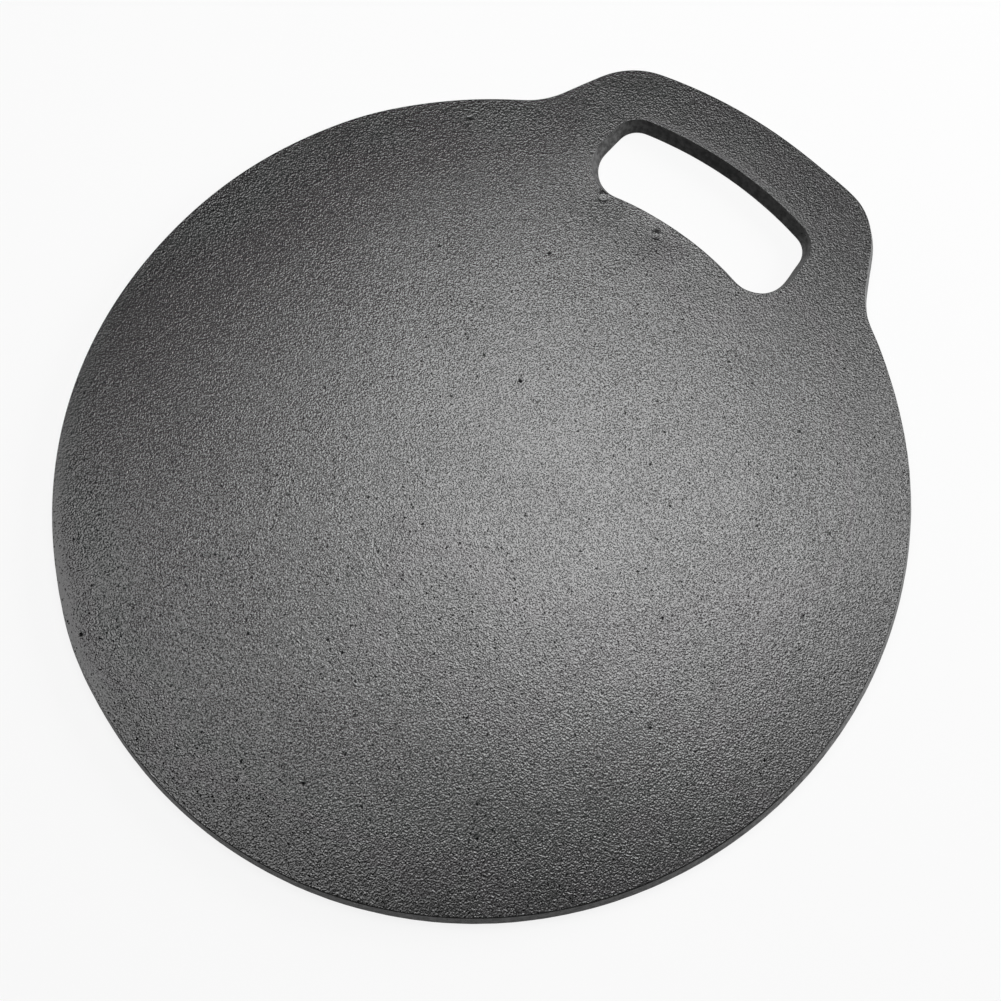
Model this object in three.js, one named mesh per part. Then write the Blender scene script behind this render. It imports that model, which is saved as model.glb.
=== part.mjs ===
// Flat round cast iron baking plate with one handle and a finger slot through it.
// The real thing is a single sand casting in grey iron: disc, handle and slot are poured together.
// Millimetres, +Z up. The origin is the disc's centre on the underside, the handle points along +Y.

import * as THREE from 'three';

// Disc, measured at the underside, where the casting is widest
const discRadius = 178;
const plateThickness = 7;

// Handle: an arc about the disc's centre, two leaning flanks, and rounds that blend them into the rim
const handleProjection = 27;
const handleSideWall = 35.2;
const handleCornerRadius = 33.5;
const handleRootRadius = 33.5;
const flankLean = THREE.MathUtils.degToRad(26.4);

// Finger slot, measured at the underside, where it is narrowest
const strapWidth = 29;
const slotWidth = 33.4;
const slotLength = 97;
const slotFarCornerRadius = 9.4;
const slotNearCornerRadius = 13.5;
const slotEndLean = THREE.MathUtils.degToRad(3.5);

// Walls lean away from the mould so that the pattern draws out upwards, and their edges are eased
const rimDraft = 1.2;
const slotDraft = 2.4;
const faceEdgeRound = 0.8;
const baseEdgeRound = 0.4;

// A round may use up this share of the straight wall or of the slot that carries it
const roundLimitShare = 0.45;

// How finely each curve is divided
const discSteps = 84;
const handleSteps = 8;
const cornerSteps = 10;
const slotArcSteps = 8;
const edgeSteps = 3;
const samePoint = 1e-6;

// Places that follow from the sizes above
const handleReach = discRadius + handleProjection;
const slotFarRadius = handleReach - strapWidth;
const slotNearRadius = slotFarRadius - slotWidth;
const slotMiddle = (slotFarRadius + slotNearRadius) / 2;
const discCentre = new THREE.Vector2(0, 0);

// A bearing is an angle from +Y towards +X, so the handle's centre line has bearing zero
function towards(bearing) {
  return new THREE.Vector2(Math.sin(bearing), Math.cos(bearing));
}

function bearingOf(point) {
  return Math.atan2(point.x, point.y);
}

// One arc of an outline. bulge is 1 where the radius grows with the outline and -1 where it shrinks.
function arc(centre, radius, bulge, from, to, steps) {
  return { centre, radius, bulge, from, to, steps };
}

function arcPoints(part, growth) {
  const radius = part.radius + part.bulge * growth;
  return Array.from({ length: part.steps + 1 }, (_, index) => {
    const bearing = THREE.MathUtils.lerp(part.from, part.to, index / part.steps);
    return towards(bearing).multiplyScalar(radius).add(part.centre);
  });
}

// The centre of a round that touches a straight wall and an arc about the disc's centre.
// offset is the centre's distance from the disc's centre, measured square to the wall.
function roundCentre(wallNormal, offset, distance, side) {
  const along = new THREE.Vector2(-wallNormal.y, wallNormal.x);
  const reach = Math.sqrt(Math.max(distance * distance - offset * offset, 0));
  return wallNormal.clone().multiplyScalar(offset).addScaledVector(along, side * reach);
}

// The handle's flank is a straight wall that leans outwards from the handle's tip to the rim.
function handleArcs() {
  const normal = new THREE.Vector2(Math.cos(flankLean), Math.sin(flankLean));
  const flankPoint = new THREE.Vector2(slotLength / 2 + handleSideWall, slotMiddle);
  const wallOffset = normal.dot(flankPoint);
  const tip = roundCentre(normal, wallOffset, handleReach, 1);
  const root = roundCentre(normal, wallOffset, discRadius, 1);
  const flankLength = tip.distanceTo(root);
  const wallBearing = bearingOf(normal);
  const cornerTurn = wallBearing - bearingOf(tip);
  const rootTurn = wallBearing - bearingOf(root);
  const room = roundLimitShare * flankLength;
  const cornerRadius = Math.min(handleCornerRadius, room / Math.tan(cornerTurn / 2));
  const rootRadius = Math.min(handleRootRadius, room / Math.tan(rootTurn / 2));

  const cornerCentre = roundCentre(normal, wallOffset - cornerRadius, handleReach - cornerRadius, 1);
  const rootCentre = roundCentre(normal, wallOffset + rootRadius, discRadius + rootRadius, 1);
  const cornerStart = bearingOf(cornerCentre);
  const rootEnd = bearingOf(rootCentre);
  return [
    arc(discCentre, handleReach, 1, 0, cornerStart, handleSteps),
    arc(cornerCentre, cornerRadius, 1, cornerStart, wallBearing, cornerSteps),
    arc(rootCentre, rootRadius, -1, wallBearing + Math.PI, rootEnd + Math.PI, cornerSteps),
    arc(discCentre, discRadius, 1, rootEnd, Math.PI, discSteps),
  ];
}

// The slot lies between two arcs about the disc's centre, and its ends lean in a little outwards.
function slotArcs() {
  const normal = new THREE.Vector2(Math.cos(slotEndLean), Math.sin(slotEndLean));
  const wallOffset = normal.dot(new THREE.Vector2(slotLength / 2, slotMiddle));
  const room = roundLimitShare * Math.min(slotWidth, slotLength);
  const farRadius = Math.min(slotFarCornerRadius, room);
  const nearRadius = Math.min(slotNearCornerRadius, room);
  const farCentre = roundCentre(normal, wallOffset - farRadius, slotFarRadius - farRadius, 1);
  const nearCentre = roundCentre(normal, wallOffset - nearRadius, slotNearRadius + nearRadius, 1);
  const wallBearing = bearingOf(normal);
  const farEnd = bearingOf(farCentre);
  const nearEnd = bearingOf(nearCentre);
  return [
    arc(discCentre, slotFarRadius, 1, 0, farEnd, slotArcSteps),
    arc(farCentre, farRadius, 1, farEnd, wallBearing, cornerSteps),
    arc(nearCentre, nearRadius, 1, wallBearing, nearEnd + Math.PI, cornerSteps),
    arc(discCentre, slotNearRadius, -1, nearEnd, 0, slotArcSteps),
  ];
}

// A closed outline, clockwise from above, from the arcs of its right half and their mirror image.
function outlinePoints(rightHalf, growth) {
  const right = rightHalf.flatMap((part) => arcPoints(part, growth));
  const left = right.map((point) => new THREE.Vector2(-point.x, point.y)).reverse();
  const loop = [...right, ...left];
  return loop.filter((point, index) => {
    const before = loop[(index + loop.length - 1) % loop.length];
    return point.distanceTo(before) > samePoint;
  });
}

// The wall's section from the underside to the cooking face: how far each ring stands back from the
// widest outline, and its height. Both edges are quarter rounds.
function wallSection(draft) {
  const base = Array.from({ length: edgeSteps }, (_, index) => {
    const turn = (Math.PI / 2) * (index / edgeSteps);
    return {
      back: baseEdgeRound * (1 - Math.sin(turn)),
      height: baseEdgeRound * (1 - Math.cos(turn)),
    };
  });
  const face = Array.from({ length: edgeSteps + 1 }, (_, index) => {
    const turn = (Math.PI / 2) * (index / edgeSteps);
    return {
      back: draft + faceEdgeRound * (1 - Math.cos(turn)),
      height: plateThickness - faceEdgeRound * (1 - Math.sin(turn)),
    };
  });
  return [...base, { back: 0, height: baseEdgeRound }, ...face];
}

// A closed body from rings of points: its outer wall, its slot's wall and the two flat faces.
function castingGeometry() {
  const positions = [];
  const triangles = [];

  function addRings(rings) {
    return rings.map(({ points, height }) => points.map((point) => {
      positions.push(point.x, point.y, height);
      return positions.length / 3 - 1;
    }));
  }

  function addWall(rings) {
    for (let level = 1; level < rings.length; level += 1) {
      const lower = rings[level - 1];
      const upper = rings[level];
      for (let index = 0; index < lower.length; index += 1) {
        const next = (index + 1) % lower.length;
        triangles.push(lower[index], lower[next], upper[next]);
        triangles.push(lower[index], upper[next], upper[index]);
      }
    }
  }

  function addFace(outerRing, outerPoints, slotRing, slotPoints, facesUp) {
    const corners = [...outerRing, ...slotRing];
    for (const [a, b, c] of THREE.ShapeUtils.triangulateShape(outerPoints, [slotPoints])) {
      triangles.push(corners[a], corners[facesUp ? b : c], corners[facesUp ? c : b]);
    }
  }

  const rim = handleArcs();
  const slot = slotArcs();
  const outer = wallSection(rimDraft).map(({ back, height }) => (
    { points: outlinePoints(rim, -back).reverse(), height }
  ));
  const inner = wallSection(slotDraft).map(({ back, height }) => (
    { points: outlinePoints(slot, back), height }
  ));
  const outerRings = addRings(outer);
  const innerRings = addRings(inner);
  addWall(outerRings);
  addWall(innerRings);
  addFace(outerRings[0], outer[0].points, innerRings[0], inner[0].points, false);
  addFace(outerRings.at(-1), outer.at(-1).points, innerRings.at(-1), inner.at(-1).points, true);

  const geometry = new THREE.BufferGeometry();
  geometry.setAttribute('position', new THREE.Float32BufferAttribute(positions, 3));
  geometry.setIndex(triangles);
  geometry.computeVertexNormals();
  return geometry;
}

const castIron = new THREE.MeshStandardMaterial({ color: 0x565656, roughness: 0.62, metalness: 0.35 });

const casting = new THREE.Mesh(castingGeometry(), castIron);
casting.name = 'cast_iron_plate';

const bakingPlate = new THREE.Group();
bakingPlate.name = 'baking_plate';
bakingPlate.add(casting);

export default bakingPlate;
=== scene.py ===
import math

import bmesh
import bpy
import numpy as np
from mathutils import Matrix, Vector
from mathutils.geometry import delaunay_2d_cdt
from mathutils.kdtree import KDTree


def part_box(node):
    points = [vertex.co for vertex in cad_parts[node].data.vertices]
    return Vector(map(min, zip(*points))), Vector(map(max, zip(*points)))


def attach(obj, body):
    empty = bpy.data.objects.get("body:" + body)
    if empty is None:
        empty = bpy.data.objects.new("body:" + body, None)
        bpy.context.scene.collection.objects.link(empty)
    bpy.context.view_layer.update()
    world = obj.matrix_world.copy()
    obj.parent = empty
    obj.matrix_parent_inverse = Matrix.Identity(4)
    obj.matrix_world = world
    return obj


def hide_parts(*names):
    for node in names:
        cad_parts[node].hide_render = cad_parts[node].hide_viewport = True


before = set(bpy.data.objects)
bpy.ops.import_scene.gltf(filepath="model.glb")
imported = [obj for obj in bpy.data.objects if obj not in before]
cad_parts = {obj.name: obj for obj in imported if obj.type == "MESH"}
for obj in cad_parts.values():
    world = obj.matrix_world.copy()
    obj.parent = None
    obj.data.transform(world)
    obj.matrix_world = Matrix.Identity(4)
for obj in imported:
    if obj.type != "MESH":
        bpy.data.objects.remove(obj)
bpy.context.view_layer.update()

# The casting: disc, handle and the strap round the finger slot are one piece of grey iron, poured
# in a sand mould that leaves a fine grain on both faces. The rim and the slot's walls are ground
# smooth, and the whole plate is baked with oil to a dark grey skin.
plate_low, plate_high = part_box("cast_iron_plate")
thickness = plate_high.z - plate_low.z
base_round = 0.0004
face_round = 0.0003
rim_draft = 0.0017
slot_draft = 0.0029
face_margin = 0.0002
round_rows = 4
wall_rows = 6
rim_points = 1080
slot_points = 264
rim_easing = 0.0012
slot_easing = 0.0010
weld = 1e-6


def face_outlines(mesh, height):
    """The closed loops of corners round the flat face at this height, the longest first."""
    flat = {f for f in mesh.faces if all(abs(v.co.z - height) < weld for v in f.verts)}
    ring = {e for f in flat for e in f.edges if sum(g in flat for g in e.link_faces) == 1}
    beside = {}
    for edge in ring:
        for here, there in (edge.verts, reversed(edge.verts)):
            beside.setdefault(here, []).append(there)
    loops = []
    left = set(beside)
    while left:
        here = min(left, key=lambda v: v.index)
        loop = []
        while here in left:
            left.discard(here)
            loop.append((here.co.x, here.co.y))
            here = min((v for v in beside[here] if v in left), key=lambda v: v.index, default=here)
        loops.append(np.array(loop))
    return sorted(loops, key=len, reverse=True)


def even_loop(corners, count, easing):
    """The loop through these corners in even steps, counter-clockwise, its facets eased away."""
    closed = np.vstack([corners, corners[:1]])
    area = np.sum(closed[:-1, 0] * closed[1:, 1] - closed[1:, 0] * closed[:-1, 1])
    if area < 0:
        closed = closed[::-1]
    along = np.r_[0, np.cumsum(np.linalg.norm(np.diff(closed, axis=0), axis=1))]
    steps = np.linspace(0, along[-1], count, endpoint=False)
    even = np.interp(steps, along, closed[:, 0]) + 1j * np.interp(steps, along, closed[:, 1])
    waves = np.fft.fftfreq(count, along[-1] / count)
    even = np.fft.ifft(np.fft.fft(even) * np.exp(-2 * (np.pi * waves * easing) ** 2))
    return np.column_stack([even.real, even.imag])


def loop_normals(loop):
    """The outward normals of a counter-clockwise loop."""
    ahead = np.roll(loop, -1, axis=0) - np.roll(loop, 1, axis=0)
    normal = np.column_stack([ahead[:, 1], -ahead[:, 0]])
    return normal / np.linalg.norm(normal, axis=1)[:, None]


def wall_section(draft):
    """Rows up a wall: how far each stands out from the underside's outline, and its height."""
    rows = []
    for turn in np.linspace(0, math.pi / 2, round_rows, endpoint=False):
        rows.append((base_round * math.sin(turn), base_round * (1 - math.cos(turn))))
    wall_height = thickness - base_round - face_round
    for share in np.linspace(0, 1, wall_rows, endpoint=False):
        rows.append((base_round - draft * share, base_round + wall_height * share))
    for turn in np.linspace(0, math.pi / 2, round_rows + 1):
        back = face_round * (1 - math.cos(turn))
        rows.append((base_round - draft - back, thickness - face_round * (1 - math.sin(turn))))
    rows.append((base_round - draft - face_round - face_margin, thickness))
    return rows


blank = bmesh.new()
blank.from_mesh(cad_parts["cast_iron_plate"].data)
bmesh.ops.remove_doubles(blank, verts=blank.verts, dist=weld)
blank.verts.index_update()
rim_corners, slot_corners = face_outlines(blank, plate_low.z)
blank.free()
rim_loop = even_loop(rim_corners, rim_points, rim_easing)
slot_loop = even_loop(slot_corners, slot_points, slot_easing)

# No sand casting is quite true to its pattern. The rim is fuller or flatter at a few places, and the
# slot's core sat a little turned. Each swell is a place, how far it spreads, and how far it stands out.
rim_swells = (
    ((0.052, 0.197), 0.016, 0.0013),
    ((0.092, 0.152), 0.016, 0.0007),
    ((-0.079, 0.168), 0.022, 0.0007),
    ((-0.145, 0.104), 0.020, 0.0004),
    ((-0.178, 0.000), 0.045, -0.0006),
    ((-0.087, -0.155), 0.022, 0.0006),
)
slot_swells = (((0.0455, 0.1405), 0.010, -0.0006),)
slot_core_turn = math.radians(-1.3)
slot_core_shift = np.array([0.0, -0.00015])


def swollen(loop, normals, swells):
    """The loop with each swell moved out along its normals."""
    for place, reach, height in swells:
        share = np.exp(-(np.linalg.norm(loop - np.array(place), axis=1) / reach) ** 2)
        loop = loop + normals * (height * share)[:, None]
    return loop


def turned(loop, turn):
    """The loop turned about its own middle."""
    middle = (loop.min(axis=0) + loop.max(axis=0)) / 2
    rotation = np.array([[math.cos(turn), math.sin(turn)], [-math.sin(turn), math.cos(turn)]])
    return (loop - middle) @ rotation + middle


rim_loop = swollen(rim_loop, loop_normals(rim_loop), rim_swells)
slot_loop = turned(slot_loop, slot_core_turn) + slot_core_shift
slot_loop = swollen(slot_loop, -loop_normals(slot_loop), slot_swells)
rim_normals = loop_normals(rim_loop)
slot_normals = -loop_normals(slot_loop)

places = []
faces = []


def add_wall(loop, normals, draft, outwards):
    """Rows of points up a wall, with the faces between them. Returns the rows."""
    rows = []
    for out, height in wall_section(draft):
        rows.append(len(places) + np.arange(len(loop)))
        places.extend((x, y, plate_low.z + height) for x, y in loop + normals * out)
    for lower, upper in zip(rows, rows[1:]):
        for face in zip(lower, np.roll(lower, -1), np.roll(upper, -1), upper):
            faces.append(face if outwards else face[::-1])
    return rows


rim_rows = add_wall(rim_loop, rim_normals, rim_draft, True)
slot_rows = add_wall(slot_loop, slot_normals, slot_draft, False)

# Gas in the iron left shallow pits in the face. Sand tore away at two places beside the slot and
# left a low lump with a groove on one side of each. Shares are of a pit's or a lump's radius, and a
# ring of points has its share and its count.
pit_draws = np.random.default_rng(14)
pit_count = 26
pit_radii = (0.0004, 0.0008)
pit_depths = (0.00020, 0.00040)
pit_steepness = 2.2
pit_margin = 0.004
pit_rings = ((0.45, 6), (0.9, 9), (1.4, 12))
lumps = ((-0.0363, 0.1345, 0.0027), (-0.0068, 0.1332, 0.0022))
lump_height = 0.00030
lump_steepness = 2.0
lump_dip_share = 5.0
lump_groove = 0.00024
lump_groove_share = 0.95
lump_groove_width_share = 0.22
# The groove is also painted partly dark, as painted shade in it.
lump_groove_shade = 0.35
lump_groove_bearing = math.radians(-53)
lump_ring_count = 10
lump_ring_points = 5
lump_rings_per_radius = 7
lump_rings = tuple((step / lump_rings_per_radius, lump_ring_points * step)
                   for step in range(1, lump_ring_count + 1))


class FaceEdge:
    """The edge of one flat face, which tells how deep a point lies inside the iron."""

    def __init__(self, rim_row, slot_row):
        self.row = [int(v) for v in (*rim_row, *slot_row)]
        self.loops = [list(range(len(rim_row))), list(range(len(rim_row), len(self.row)))]
        self.normals = np.vstack([rim_normals, slot_normals])
        self.tree = KDTree(len(self.row))
        for index, vertex in enumerate(self.row):
            self.tree.insert((places[vertex][0], places[vertex][1], 0), index)
        self.tree.balance()

    def depth(self, x, y):
        near, index, _ = self.tree.find((x, y, 0))
        return (near.x - x) * self.normals[index][0] + (near.y - y) * self.normals[index][1]


ring_room_share = 0.8


def ringed(x, y, radius, rings):
    """A point and rings of points round it, each with the room that it keeps free."""
    room = ring_room_share * radius
    crowd = [(x, y, room)]
    for share, count in rings:
        for step in range(count):
            turn = 2 * math.pi * (step + share) / count
            crowd.append((x + share * radius * math.cos(turn), y + share * radius * math.sin(turn), room))
    return crowd


face_spacing = 0.00150
base_spacing = 0.00260
edge_room_share = 0.7
out_of_reach = (0, 0, 1)
# The triangulation keeps only what lies inside a loop, and the second loop is the slot's.
only_inside = 1
slot_index = 1
same_point = 1e-7


def fill_face(edge, spacing, crowd, upwards):
    """Covers a flat face with even triangles between its rim and its slot."""
    points = [Vector(places[v][:2]) for v in edge.row]
    height = places[edge.row[0]][2]
    near = KDTree(len(crowd) + 1)
    for index, (x, y, _) in enumerate(crowd):
        near.insert((x, y, 0), index)
    near.insert(out_of_reach, len(crowd))
    near.balance()
    room = [r for _, _, r in crowd] + [0]
    row_step = spacing * math.sqrt(3) / 2
    for j in range(int(plate_low.y / row_step), int(plate_high.y / row_step) + 1):
        for i in range(int(plate_low.x / spacing) - 1, int(plate_high.x / spacing) + 1):
            x, y = (i + 0.5 * (j % 2)) * spacing, j * row_step
            _, index, away = near.find((x, y, 0))
            if edge.depth(x, y) > edge_room_share * spacing and away > room[index]:
                points.append(Vector((x, y)))
    points += [Vector((x, y)) for x, y, _ in crowd]
    corner_places, _, triangles, corner_sources, _, triangle_loops = delaunay_2d_cdt(
        points, [], edge.loops, only_inside, same_point)
    index_of = []
    for place, sources in zip(corner_places, corner_sources):
        if sources and sources[0] < len(edge.row):
            index_of.append(edge.row[sources[0]])
        else:
            index_of.append(len(places))
            places.append((place.x, place.y, height))
    for corners, loops in zip(triangles, triangle_loops):
        if slot_index not in loops:
            face = tuple(index_of[c] for c in corners)
            faces.append(face if upwards else face[::-1])


face_edge = FaceEdge(rim_rows[-1], slot_rows[-1])
base_edge = FaceEdge(rim_rows[0], slot_rows[0])
pits = []
while len(pits) < pit_count:
    x = pit_draws.uniform(plate_low.x, plate_high.x)
    y = pit_draws.uniform(plate_low.y, plate_high.y)
    size = pit_draws.uniform(0, 1)
    if face_edge.depth(x, y) > pit_margin:
        pits.append((x, y, pit_radii[0] + (pit_radii[1] - pit_radii[0]) * size ** 2,
                     pit_depths[0] + (pit_depths[1] - pit_depths[0]) * size))
detail = []
for x, y, radius, _ in pits:
    detail += ringed(x, y, radius, pit_rings)
for x, y, radius in lumps:
    detail += ringed(x, y, radius, lump_rings)
fill_face(face_edge, face_spacing, detail, True)
fill_face(base_edge, base_spacing, [], False)

skin = np.array(places)
on_face = skin[:, 2] > plate_high.z - weld
# The pits and the grooves beside the lumps are also painted dark, as painted shade in these hollows.
pit_shade = np.zeros(len(skin))
for x, y, radius, depth in pits:
    away = np.hypot(skin[:, 0] - x, skin[:, 1] - y) / radius
    dent = np.where(on_face, np.exp(-pit_steepness * away ** 2), 0)
    skin[:, 2] -= depth * dent
    pit_shade = np.maximum(pit_shade, dent)
for x, y, radius in lumps:
    away = np.hypot(skin[:, 0] - x, skin[:, 1] - y) / radius
    bearing = np.arctan2(skin[:, 1] - y, skin[:, 0] - x)
    facing = np.clip(np.cos(bearing - lump_groove_bearing), 0, 1) ** 2
    from_groove = (away - lump_groove_share) / lump_groove_width_share
    groove = np.where(on_face, np.exp(-from_groove ** 2) * facing, 0)
    rise = np.where(on_face, lump_height * np.exp(-lump_steepness * away ** 2), 0)
    skin[:, 2] += rise - lump_groove * groove
    # The face dips a little all round a lump, so that its top stays within the plate's thickness.
    skin[:, 2] *= 1 - lump_height / thickness * np.exp(-(away / lump_dip_share) ** 2)
    pit_shade = np.maximum(pit_shade, lump_groove_shade * groove)

# The walls are painted lighter or darker by how light falls on them: the rim lighter on one side, and
# the slot's two ends lighter than its long walls, which are painted in shade. A dark line of painted
# shade runs along the rim's upper edge on one side, where the round is in shade.
shaded_side = np.array([0.61, -0.74])
edge_shade_facings = (0.50, 0.76)
painted_lit_side = np.array([0.92, 0.38])
painted_lit_side_facings = (0.55, 0.90)
rim_painted_light_shares = (0.72, 1.0)
slot_painted_light_shares = (0.15, 0.65)
wheel_mark_fade = 0.5
rim_painted_light = np.interp(rim_normals @ painted_lit_side, painted_lit_side_facings, rim_painted_light_shares)
slot_painted_light = np.interp(np.abs(slot_normals[:, 0]), (0, 1), slot_painted_light_shares)
wall_top = round_rows + wall_rows
fettled_or_edge_shade = np.zeros(len(skin))
painted_wall_light = np.zeros(len(skin))
wheel_marked = np.zeros(len(skin))
for rows, painted_light in ((rim_rows, rim_painted_light), (slot_rows, slot_painted_light)):
    for row in rows[1:wall_top + 1]:
        fettled_or_edge_shade[row] = 1
        painted_wall_light[row] = painted_light
    for row in rows[2:wall_top - 1]:
        wheel_marked[row] = 1
    wheel_marked[rows[wall_top - 1]] = wheel_mark_fade
# The rounds along the shaded side take the walls' colour, so that the painted shade line shows there.
painted_edge_shade = np.interp(rim_normals @ shaded_side, edge_shade_facings, (0, 1))
for row in rim_rows[wall_top:-1]:
    fettled_or_edge_shade[row] = np.maximum(fettled_or_edge_shade[row], painted_edge_shade)
    painted_wall_light[row] = rim_painted_light * (1 - painted_edge_shade)

# Hands rub the face beside the slot's far wall, and one side of the rim is rubbed where the plate
# is stood on edge.
slot_rub_side = np.array([0.0, -1.0])
slot_rub_reach = 0.0024
rim_rub_side = np.array([-0.75, -0.66])
rim_rub_reach = 0.0050
rub_facings = (0.80, 0.97)
rubs = ((slot_rows[-1], slot_normals, slot_rub_side, slot_rub_reach),
        (rim_rows[-1], rim_normals, rim_rub_side, rim_rub_reach))
rubbed = np.zeros(len(skin))
for row, normals, side, reach in rubs:
    share = np.interp(normals @ side, rub_facings, (0, 1))
    for index in np.flatnonzero(share):
        away = np.hypot(*(skin[:, :2] - skin[row[index], :2]).T)
        rubbed = np.maximum(rubbed, np.where(on_face, share[index] * np.exp(-(away / reach) ** 2), 0))

casting_mesh = bpy.data.meshes.new("casting")
casting_mesh.from_pydata(skin.tolist(), [], [[int(v) for v in face] for face in faces])
for name, values in (("fettled_or_edge_shade", fettled_or_edge_shade), ("painted_wall_light", painted_wall_light), ("wheel_marked", wheel_marked),
                     ("rubbed", rubbed), ("pit_shade", pit_shade)):
    casting_mesh.attributes.new(name, "FLOAT", "POINT").data.foreach_set("value", values)
casting_mesh.shade_smooth()
casting_blank = bpy.data.objects.new("casting_blank", casting_mesh)
bpy.context.scene.collection.objects.link(casting_blank)


def add_node(tree, kind, inputs=(), **settings):
    """A node with its settings, and its inputs given as values or as other nodes' outputs."""
    node = tree.nodes.new(kind)
    for name, value in settings.items():
        setattr(node, name, value)
    for name, value in dict(inputs).items():
        if isinstance(value, bpy.types.NodeSocket):
            tree.links.new(value, node.inputs[name])
        else:
            node.inputs[name].default_value = value
    return node


def maths(tree, operation, a, b=0.0):
    return add_node(tree, "ShaderNodeMath", {0: a, 1: b}, operation=operation).outputs[0]


# No cast face is true: slow waves run over both faces, and the wheel left its marks on the walls.
# Both only take iron away, so the plate stays within its size.
as_cast_sizes = {
    "Wave Height": 0.00012,
    "Waves Per Metre": 22.0,
    "Wheel Mark Height": 0.00018,
    "Wheel Marks Per Metre": 170.0,
}
as_cast = bpy.data.node_groups.new("as_cast_skin", "GeometryNodeTree")
as_cast.interface.new_socket("Geometry", in_out="INPUT", socket_type="NodeSocketGeometry")
for name in as_cast_sizes:
    as_cast.interface.new_socket(name, in_out="INPUT", socket_type="NodeSocketFloat")
as_cast.interface.new_socket("Iron", in_out="INPUT", socket_type="NodeSocketMaterial")
as_cast.interface.new_socket("Geometry", in_out="OUTPUT", socket_type="NodeSocketGeometry")
cast_in = add_node(as_cast, "NodeGroupInput").outputs
cast_wave = add_node(as_cast, "ShaderNodeTexNoise", {
    "Scale": cast_in["Waves Per Metre"], "Detail": 2.0}).outputs[0]
cast_mark = add_node(as_cast, "ShaderNodeTexNoise", {
    "Scale": cast_in["Wheel Marks Per Metre"], "Detail": 1.0}).outputs[0]
cast_wall = add_node(as_cast, "GeometryNodeInputNamedAttribute", {"Name": "wheel_marked"},
                     data_type="FLOAT").outputs[0]
wave_depth = maths(as_cast, "MULTIPLY", cast_wave, cast_in["Wave Height"])
mark_depth = maths(as_cast, "MULTIPLY", maths(as_cast, "MULTIPLY", cast_mark, cast_wall),
                   cast_in["Wheel Mark Height"])
cast_inward = maths(as_cast, "MULTIPLY", maths(as_cast, "ADD", wave_depth, mark_depth), -1.0)
cast_step = add_node(as_cast, "ShaderNodeVectorMath", {
    0: add_node(as_cast, "GeometryNodeInputNormal").outputs[0], "Scale": cast_inward},
    operation="SCALE").outputs[0]
cast_moved = add_node(as_cast, "GeometryNodeSetPosition", {
    "Geometry": cast_in["Geometry"], "Offset": cast_step}).outputs[0]
cast_real = add_node(as_cast, "GeometryNodeRealizeInstances", {"Geometry": cast_moved}).outputs[0]
cast_iron = add_node(as_cast, "GeometryNodeSetMaterial", {
    "Geometry": cast_real, "Material": cast_in["Iron"]}).outputs[0]
add_node(as_cast, "NodeGroupOutput", {"Geometry": cast_iron})

# Oiled and baked iron is nearly black with a satin sheen. The sand leaves a fine relief with pores
# between its grains, painted dark as shade in them. One side is sound, small gas holes gather at the
# opposite one, and a third is worn smoother and duller. The walls hold less oil and are greyer.
hill_colour = 0.085
pore_shade_colour = 0.008
wall_colour = 0.125
# Walls in full painted shade, and the painted dark line on the rim's edge, take this colour.
wall_shade_colour = 0.006
# Pits, gas holes and the lumps' grooves are painted this near black, as shade in these hollows.
pit_shade_colour = 0.002
face_metallic = 0.95
wall_metallic = 0.0
wall_roughness = 0.55
skin_reflection = 0.1
pores_per_metre = 1500.0
pore_edges = (0.15, 0.60)
pore_depth_share = 0.15
bumps_per_metre = 1500.0
bump_height = 0.00014
gas_holes_per_metre = 560.0
gas_hole_edges = (0.12, 0.25)
sound_side = (0.28, 0.95, 0.0)
sound_side_reach = (-0.15, 0.0)
gas_hole_shares = (0.75, 0.15)
gas_patches_per_metre = 12.0
gas_patch_edges = (0.35, 0.65)
gas_patch_shares = (0.4, 1.6)
gas_hole_raggedness = 0.0012
gas_hole_rags_per_metre = 900.0
gas_hole_depth_share = 0.5
worn_patches_per_metre = 26.0
worn_patch_edges = (0.35, 0.70)
worn_relief_share = 0.7
worn_side = (0.78, 0.62, 0.0)
worn_side_reach = (-0.17, 0.17)
worn_side_relief_shares = (1.20, 0.70)
worn_side_roughness = (0.13, 0.26)
rubbed_relief_share = 0.35
rubbed_colour = 0.070
ground_patches_per_metre = 420.0
ground_patch_edges = (0.35, 0.65)
ground_patch_shares = (0.55, 1.45)
ground_relief_share = 0.15
iron = bpy.data.materials.new("seasoned_iron")
iron.use_nodes = True
iron_tree = iron.node_tree
iron_tree.nodes.clear()


def between(value, low, high, out_low, out_high):
    """Maps a value's range onto another, and clamps it."""
    return add_node(iron_tree, "ShaderNodeMapRange", {
        "Value": value, "From Min": low, "From Max": high,
        "To Min": out_low, "To Max": out_high}).outputs[0]


def blend(share, at_none, at_full):
    """Goes from one value to the other as a share goes from 0 to 1."""
    return between(share, 0.0, 1.0, at_none, at_full)


def iron_mark(name):
    return add_node(iron_tree, "ShaderNodeAttribute", attribute_name=name).outputs["Fac"]


def iron_noise(per_metre, detail, roughness):
    return add_node(iron_tree, "ShaderNodeTexNoise", {
        "Vector": iron_place, "Scale": per_metre, "Detail": detail,
        "Roughness": roughness}).outputs[0]


def iron_cells(place, per_metre):
    return add_node(iron_tree, "ShaderNodeTexVoronoi", {"Vector": place, "Scale": per_metre}).outputs


def iron_towards(side):
    """How far a point lies towards one side of the plate."""
    return add_node(iron_tree, "ShaderNodeVectorMath", {0: iron_place, 1: side},
                    operation="DOT_PRODUCT").outputs["Value"]


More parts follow.
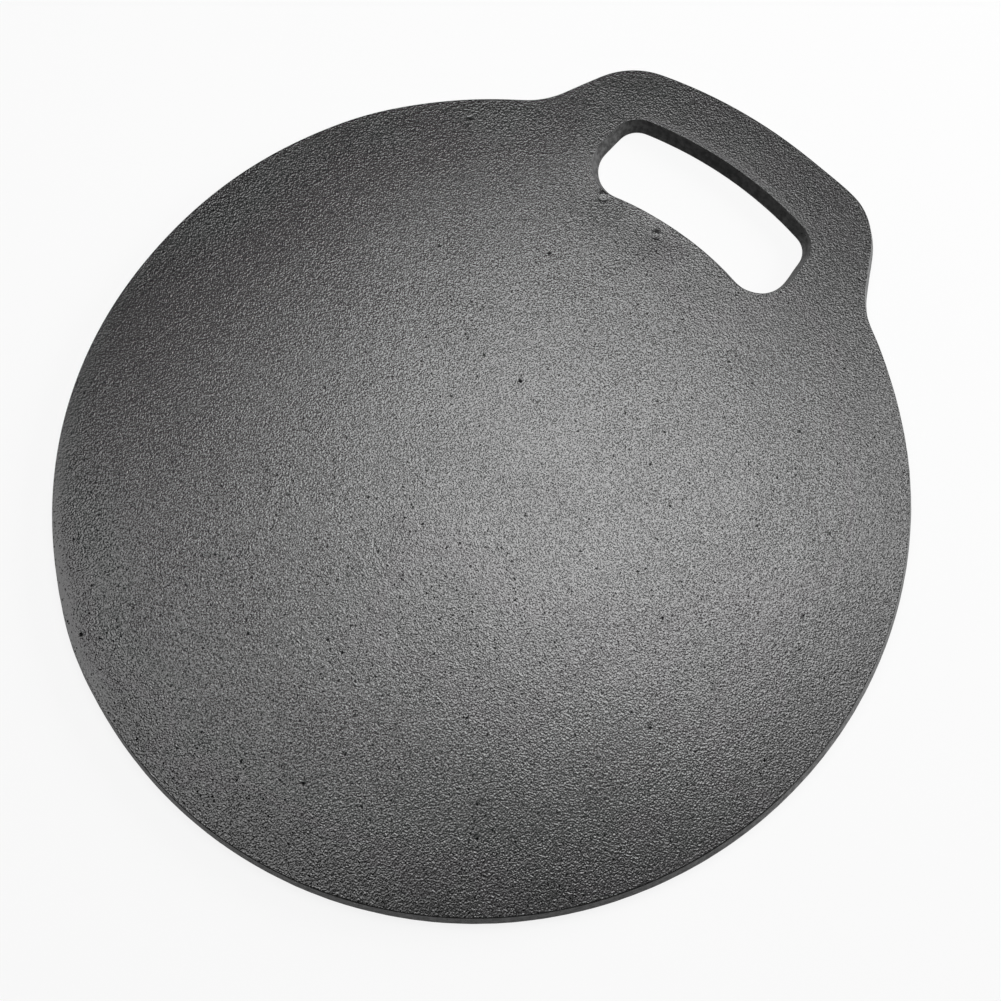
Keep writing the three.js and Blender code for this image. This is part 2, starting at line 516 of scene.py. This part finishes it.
iron_place = add_node(iron_tree, "ShaderNodeTexCoord").outputs["Object"]
on_wall_or_edge_shade = iron_mark("fettled_or_edge_shade")
wall_light_share = iron_mark("painted_wall_light")
is_rubbed = iron_mark("rubbed")
in_pit_shade = iron_mark("pit_shade")
pore_cells = iron_cells(iron_place, pores_per_metre)
rags = add_node(iron_tree, "ShaderNodeTexNoise", {
    "Vector": iron_place, "Scale": gas_hole_rags_per_metre, "Detail": 0.0}).outputs["Color"]
ragged_place = add_node(iron_tree, "ShaderNodeVectorMath", {
    0: rags, 1: (gas_hole_raggedness,) * 3, 2: iron_place}, operation="MULTIPLY_ADD").outputs[0]
gas_cells = iron_cells(ragged_place, gas_holes_per_metre)
gas_patch = iron_noise(gas_patches_per_metre, detail=1.0, roughness=0.5)
gas_hole_share = maths(
    iron_tree, "MULTIPLY",
    between(iron_towards(sound_side), *sound_side_reach, *gas_hole_shares),
    between(gas_patch, *gas_patch_edges, *gas_patch_shares))
between_pores = between(pore_cells["Distance"], *pore_edges, 0.0, 1.0)
# The pores take painted shade, darker than the tops of the grains.
face_colour = blend(between_pores, pore_shade_colour, hill_colour)
has_gas = maths(iron_tree, "LESS_THAN", add_node(iron_tree, "ShaderNodeSeparateColor", {
    "Color": gas_cells["Color"]}).outputs[0], gas_hole_share)
gas_hole = maths(iron_tree, "MULTIPLY", has_gas, between(gas_cells["Distance"], *gas_hole_edges, 1.0, 0.0))
# Gas holes, pits and grooves take painted shade.
painted_pit_shade = maths(iron_tree, "MAXIMUM", in_pit_shade, gas_hole)
worn_patch = iron_noise(worn_patches_per_metre, detail=3.0, roughness=0.6)
worn = between(worn_patch, *worn_patch_edges, 1.0, worn_relief_share)
unrubbed = blend(is_rubbed, 1.0, rubbed_relief_share)
to_worn_side = iron_towards(worn_side)
side_worn = between(to_worn_side, *worn_side_reach, *worn_side_relief_shares)
face_worn = maths(iron_tree, "MULTIPLY", worn, side_worn)
relief_left = maths(iron_tree, "MULTIPLY", maths(iron_tree, "MULTIPLY", face_worn, unrubbed),
                    blend(on_wall_or_edge_shade, 1.0, ground_relief_share))
bumps = iron_noise(bumps_per_metre, detail=0.0, roughness=0.5)
sand_relief = maths(iron_tree, "ADD", bumps,
                    maths(iron_tree, "MULTIPLY", between_pores, pore_depth_share))
relief = maths(iron_tree, "SUBTRACT", sand_relief,
               maths(iron_tree, "MULTIPLY", gas_hole, gas_hole_depth_share))
iron_bump = add_node(iron_tree, "ShaderNodeBump", {
    "Strength": 1.0, "Distance": bump_height,
    "Height": maths(iron_tree, "MULTIPLY", relief, relief_left)}).outputs[0]
ground_patch = iron_noise(ground_patches_per_metre, detail=2.0, roughness=0.6)
# On the walls the colour runs from painted shade to their own grey, by the painted light each takes.
ground_colour = maths(
    iron_tree, "MULTIPLY",
    between(ground_patch, *ground_patch_edges, *ground_patch_shares),
    blend(wall_light_share, wall_shade_colour, wall_colour))
skin_colour = blend(on_wall_or_edge_shade, blend(is_rubbed, face_colour, rubbed_colour), ground_colour)
iron_colour = blend(painted_pit_shade, skin_colour, pit_shade_colour)
face_roughness = between(to_worn_side, *worn_side_reach, *worn_side_roughness)
iron_roughness = blend(on_wall_or_edge_shade, face_roughness, wall_roughness)
iron_shader = add_node(iron_tree, "ShaderNodeBsdfPrincipled", {
    "Base Color": iron_colour, "Roughness": iron_roughness, "Normal": iron_bump,
    "Specular IOR Level": skin_reflection,
    "Metallic": blend(on_wall_or_edge_shade, face_metallic, wall_metallic)})
add_node(iron_tree, "ShaderNodeOutputMaterial", {"Surface": iron_shader.outputs[0]})

skin_maker = casting_blank.modifiers.new("as_cast_skin", "NODES")
skin_maker.node_group = as_cast
for item in as_cast.interface.items_tree:
    if item.item_type == "SOCKET" and item.in_out == "INPUT":
        if item.name in as_cast_sizes:
            skin_maker[item.identifier] = as_cast_sizes[item.name]
        elif item.name == "Iron":
            skin_maker[item.identifier] = iron
seen = casting_blank.evaluated_get(bpy.context.evaluated_depsgraph_get())
casting = bpy.data.objects.new("casting", bpy.data.meshes.new_from_object(seen))
casting_blank.modifiers.clear()
bpy.data.objects.remove(casting_blank)
bpy.context.scene.collection.objects.link(casting)
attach(casting, "root")
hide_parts("cast_iron_plate")

# The studio floor: a pale sheet that sweeps up to a low backdrop all round. The camera and
# reflections see it nearly white, and it keeps the plate's shadow.
floor_radius = 2.4
sweep_radius = 0.6
backdrop_height = 1.1
floor_drop = 0.0002
floor_steps = 96
sweep_steps = 16
paper_colour = (0.8, 0.8, 0.8, 1)
paper_white_share = 0.85
floor_mesh = bmesh.new()
profile = [(floor_radius, 0.0)]
for step in range(1, sweep_steps + 1):
    turn = math.pi / 2 * step / sweep_steps
    profile.append((floor_radius + sweep_radius * math.sin(turn), sweep_radius * (1 - math.cos(turn))))
profile.append((floor_radius + sweep_radius, backdrop_height))
rings = []
for radius, height in profile:
    ring = []
    for step in range(floor_steps):
        turn = 2 * math.pi * step / floor_steps
        ring.append(floor_mesh.verts.new(
            (radius * math.cos(turn), radius * math.sin(turn), height - floor_drop)))
    rings.append(ring)
floor_mesh.faces.new(rings[0])
for inner, outer in zip(rings, rings[1:]):
    for step in range(floor_steps):
        ahead = (step + 1) % floor_steps
        floor_mesh.faces.new((inner[step], outer[step], outer[ahead], inner[ahead]))
floor_data = bpy.data.meshes.new("studio_floor")
floor_mesh.to_mesh(floor_data)
floor_mesh.free()
floor_data.shade_smooth()
floor = bpy.data.objects.new("studio_floor", floor_data)
bpy.context.scene.collection.objects.link(floor)
paper = bpy.data.materials.new("pale_paper")
paper.use_nodes = True
paper_tree = paper.node_tree
paper_tree.nodes.clear()
paper_ray = add_node(paper_tree, "ShaderNodeLightPath").outputs
paper_seen = maths(paper_tree, "MAXIMUM", paper_ray["Is Camera Ray"],
                   maths(paper_tree, "MAXIMUM", paper_ray["Is Glossy Ray"],
                         paper_ray["Is Transmission Ray"]))
paper_lit = add_node(paper_tree, "ShaderNodeBsdfDiffuse", {"Color": paper_colour}).outputs[0]
paper_white = add_node(paper_tree, "ShaderNodeEmission", {"Strength": 1.0}).outputs[0]
paper_shader = add_node(paper_tree, "ShaderNodeMixShader", {
    0: maths(paper_tree, "MULTIPLY", paper_seen, paper_white_share), 1: paper_lit, 2: paper_white})
add_node(paper_tree, "ShaderNodeOutputMaterial", {"Surface": paper_shader.outputs[0]})
floor_data.materials.append(paper)


# Studio light: four soft lamps over the plate, and a strong low one beyond the handle that lights
# the rim on that side. A dim even room fills the rest.
def soft_lamp(name, place, size, turn, power):
    """A soft lamp of this width and height, aimed at the plate and turned about its own axis."""
    data = bpy.data.lights.new(name, "AREA")
    data.shape = "RECTANGLE"
    data.size, data.size_y = size
    data.energy = power
    lamp = bpy.data.objects.new(name, data)
    bpy.context.scene.collection.objects.link(lamp)
    facing = (-Vector(place)).to_track_quat("-Z", "Y").to_matrix().to_4x4()
    lamp.matrix_world = Matrix.Translation(place) @ facing @ Matrix.Rotation(turn, 4, "Z")
    lamp.visible_camera = False
    return lamp


soft_lamp("side_lamp", place=(0.75, 1.38, 0.50), size=(1.2, 0.7), turn=0.0, power=26.0)
soft_lamp("main_lamp", place=(-0.213, 0.333, 1.0), size=(0.43, 0.45), turn=math.radians(11), power=3.09)
soft_lamp("right_lamp", place=(0.090, 0.372, 1.0), size=(0.61, 0.20), turn=math.radians(76), power=2.00)
soft_lamp("left_lamp", place=(-0.363, -0.075, 1.0), size=(0.52, 0.51), turn=math.radians(-27), power=1.78)
soft_lamp("wide_lamp", place=(-0.10, 0.21, 1.0), size=(1.52, 1.11), turn=0.0, power=1.50)

room_strength = 0.05
room = bpy.data.worlds.new("grey_room")
room.use_nodes = True
room.node_tree.nodes["Background"].inputs["Color"].default_value = (1, 1, 1, 1)
room.node_tree.nodes["Background"].inputs["Strength"].default_value = room_strength
bpy.context.scene.world = room
bpy.context.scene.view_settings.view_transform = "Standard"

# The camera looks steeply down on the plate from its front right, so that the handle points to the
# upper right of the picture.
camera_place = Vector((0.15951, -0.14560, 0.65826))
camera_aim = Vector((0.01381, -0.00191, 0.00700))
camera_lean = math.radians(-7.76)
camera_data = bpy.data.cameras.new("camera")
camera_data.lens = 60.0
camera_data.sensor_width = 36.0
camera = bpy.data.objects.new("camera", camera_data)
bpy.context.scene.collection.objects.link(camera)
upright = (camera_aim - camera_place).to_track_quat("-Z", "Y").to_matrix().to_4x4()
camera.matrix_world = Matrix.Translation(camera_place) @ upright @ Matrix.Rotation(camera_lean, 4, "Z")
bpy.context.scene.camera = camera
